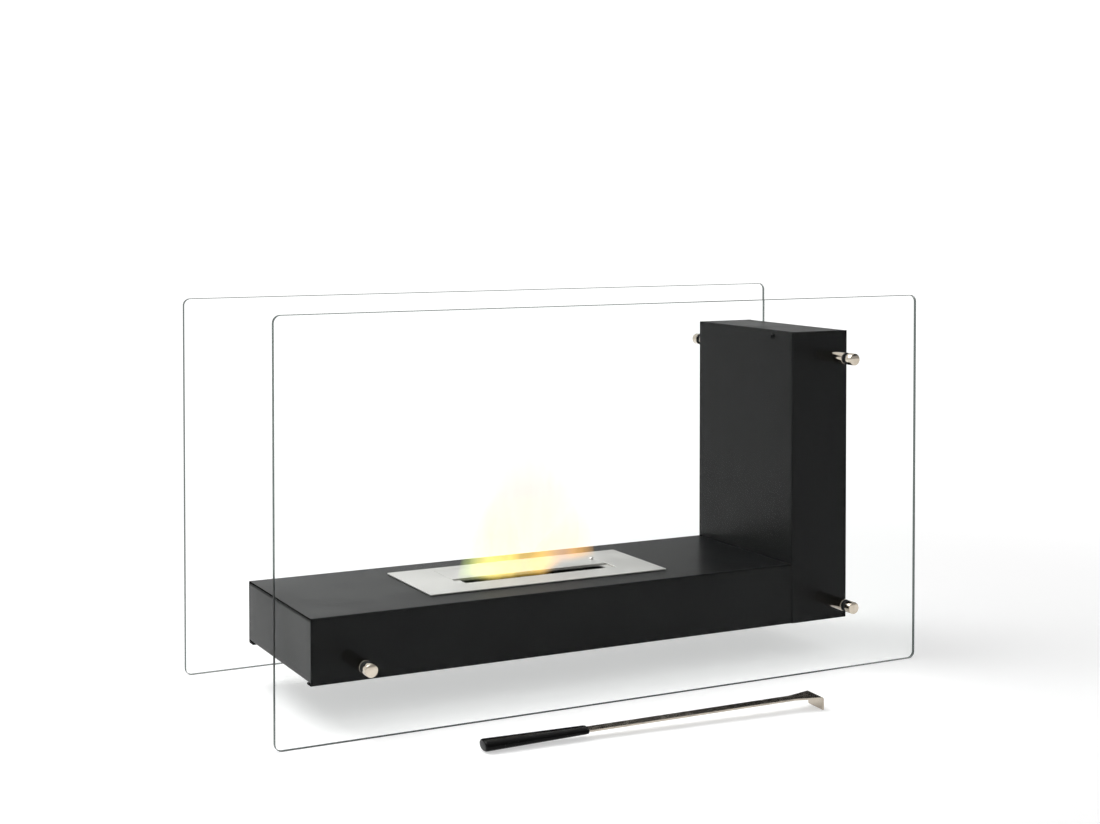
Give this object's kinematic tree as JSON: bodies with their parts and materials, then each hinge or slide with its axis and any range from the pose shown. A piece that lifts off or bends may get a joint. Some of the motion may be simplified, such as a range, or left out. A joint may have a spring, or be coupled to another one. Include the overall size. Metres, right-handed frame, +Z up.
{
  "type": "bioethanol fireplace",
  "caption": "Free-standing bioethanol fireplace: L-shaped black steel body held between two glass panes by standoffs, drop-in burner with sliding lid, and loose lid tool.",
  "frame": {"origin": "middle of the front pane's bottom edge, on the floor", "axes": "+X along the hearth towards the column, +Y towards the rear pane, +Z up"},
  "size_m": [0.8, 0.4649, 0.436],
  "materials": {
    "glass": "clear toughened glass with ground, faintly green edges",
    "black_steel": "satin black powder coat with a fine grain",
    "zinc_steel": "zinc-plated steel fastener",
    "nickel": "polished, slightly warm nickel plating",
    "rubber": "matt black rubber ring",
    "stainless": "stainless sheet brushed lengthways",
    "sooted_steel": "stainless sheet dulled by heat and soot",
    "ceramic": "porous off-white ceramic",
    "tool_steel": "bright flat steel strip",
    "handle_plastic": "gloss black moulded plastic"
  },
  "bodies": {
    "fireplace_frame": {"front_pane": "glass", "rear_pane": "glass", "hearth_cover": "black_steel", "hearth_base": "black_steel", "hearth_end_plate": "black_steel", "hearth_bulkhead": "black_steel", "column_shell": "black_steel", "column_cover": "black_steel", "column_cover_screw": "black_steel", "joining_rivet_1": "zinc_steel", "joining_rivet_2": "zinc_steel", "joining_rivet_3": "zinc_steel", "joining_rivet_4": "zinc_steel", "standoff_screw_front_lower_left": "zinc_steel", "standoff_screw_front_lower_right": "zinc_steel", "standoff_screw_front_upper_right": "zinc_steel", "standoff_screw_rear_lower_left": "zinc_steel", "standoff_screw_rear_lower_right": "zinc_steel", "standoff_screw_rear_upper_right": "zinc_steel", "standoff_barrel_front_lower_left": "nickel", "standoff_barrel_front_lower_right": "nickel", "standoff_barrel_front_upper_right": "nickel", "standoff_barrel_rear_lower_left": "nickel", "standoff_barrel_rear_lower_right": "nickel", "standoff_barrel_rear_upper_right": "nickel", "standoff_cap_front_lower_left": "nickel", "standoff_cap_front_lower_right": "nickel", "standoff_cap_front_upper_right": "nickel", "standoff_cap_rear_lower_left": "nickel", "standoff_cap_rear_lower_right": "nickel", "standoff_cap_rear_upper_right": "nickel", "inner_washer_front_lower_left": "rubber", "inner_washer_front_lower_right": "rubber", "inner_washer_front_upper_right": "rubber", "inner_washer_rear_lower_left": "rubber", "inner_washer_rear_lower_right": "rubber", "inner_washer_rear_upper_right": "rubber", "outer_washer_front_lower_left": "rubber", "outer_washer_front_lower_right": "rubber", "outer_washer_front_upper_right": "rubber", "outer_washer_rear_lower_left": "rubber", "outer_washer_rear_lower_right": "rubber", "outer_washer_rear_upper_right": "rubber"},
    "burner": {"burner_flange": "stainless", "burner_tray": "stainless", "burner_tank": "sooted_steel", "ceramic_block": "ceramic", "wick_grid": "sooted_steel"},
    "lid": {"slider_lid": "stainless", "lid_stud": "stainless"},
    "tool": {"tool_bar": "tool_steel", "tool_handle": "handle_plastic"}
  },
  "joints": [
    {"name": "burner_lift", "type": "slide", "parent": "fireplace_frame", "child": "burner", "axis": [0, 0, 1], "range_m": [0, 0.12]},
    {"name": "lid_slide", "type": "slide", "parent": "burner", "child": "lid", "axis": [0, -1, 0], "range_m": [0, 0.025]},
    {"name": "tool_lift", "type": "slide", "parent": "fireplace_frame", "child": "tool", "axis": [0, 0, 1], "range_m": [0, 0.3]}
  ]
}
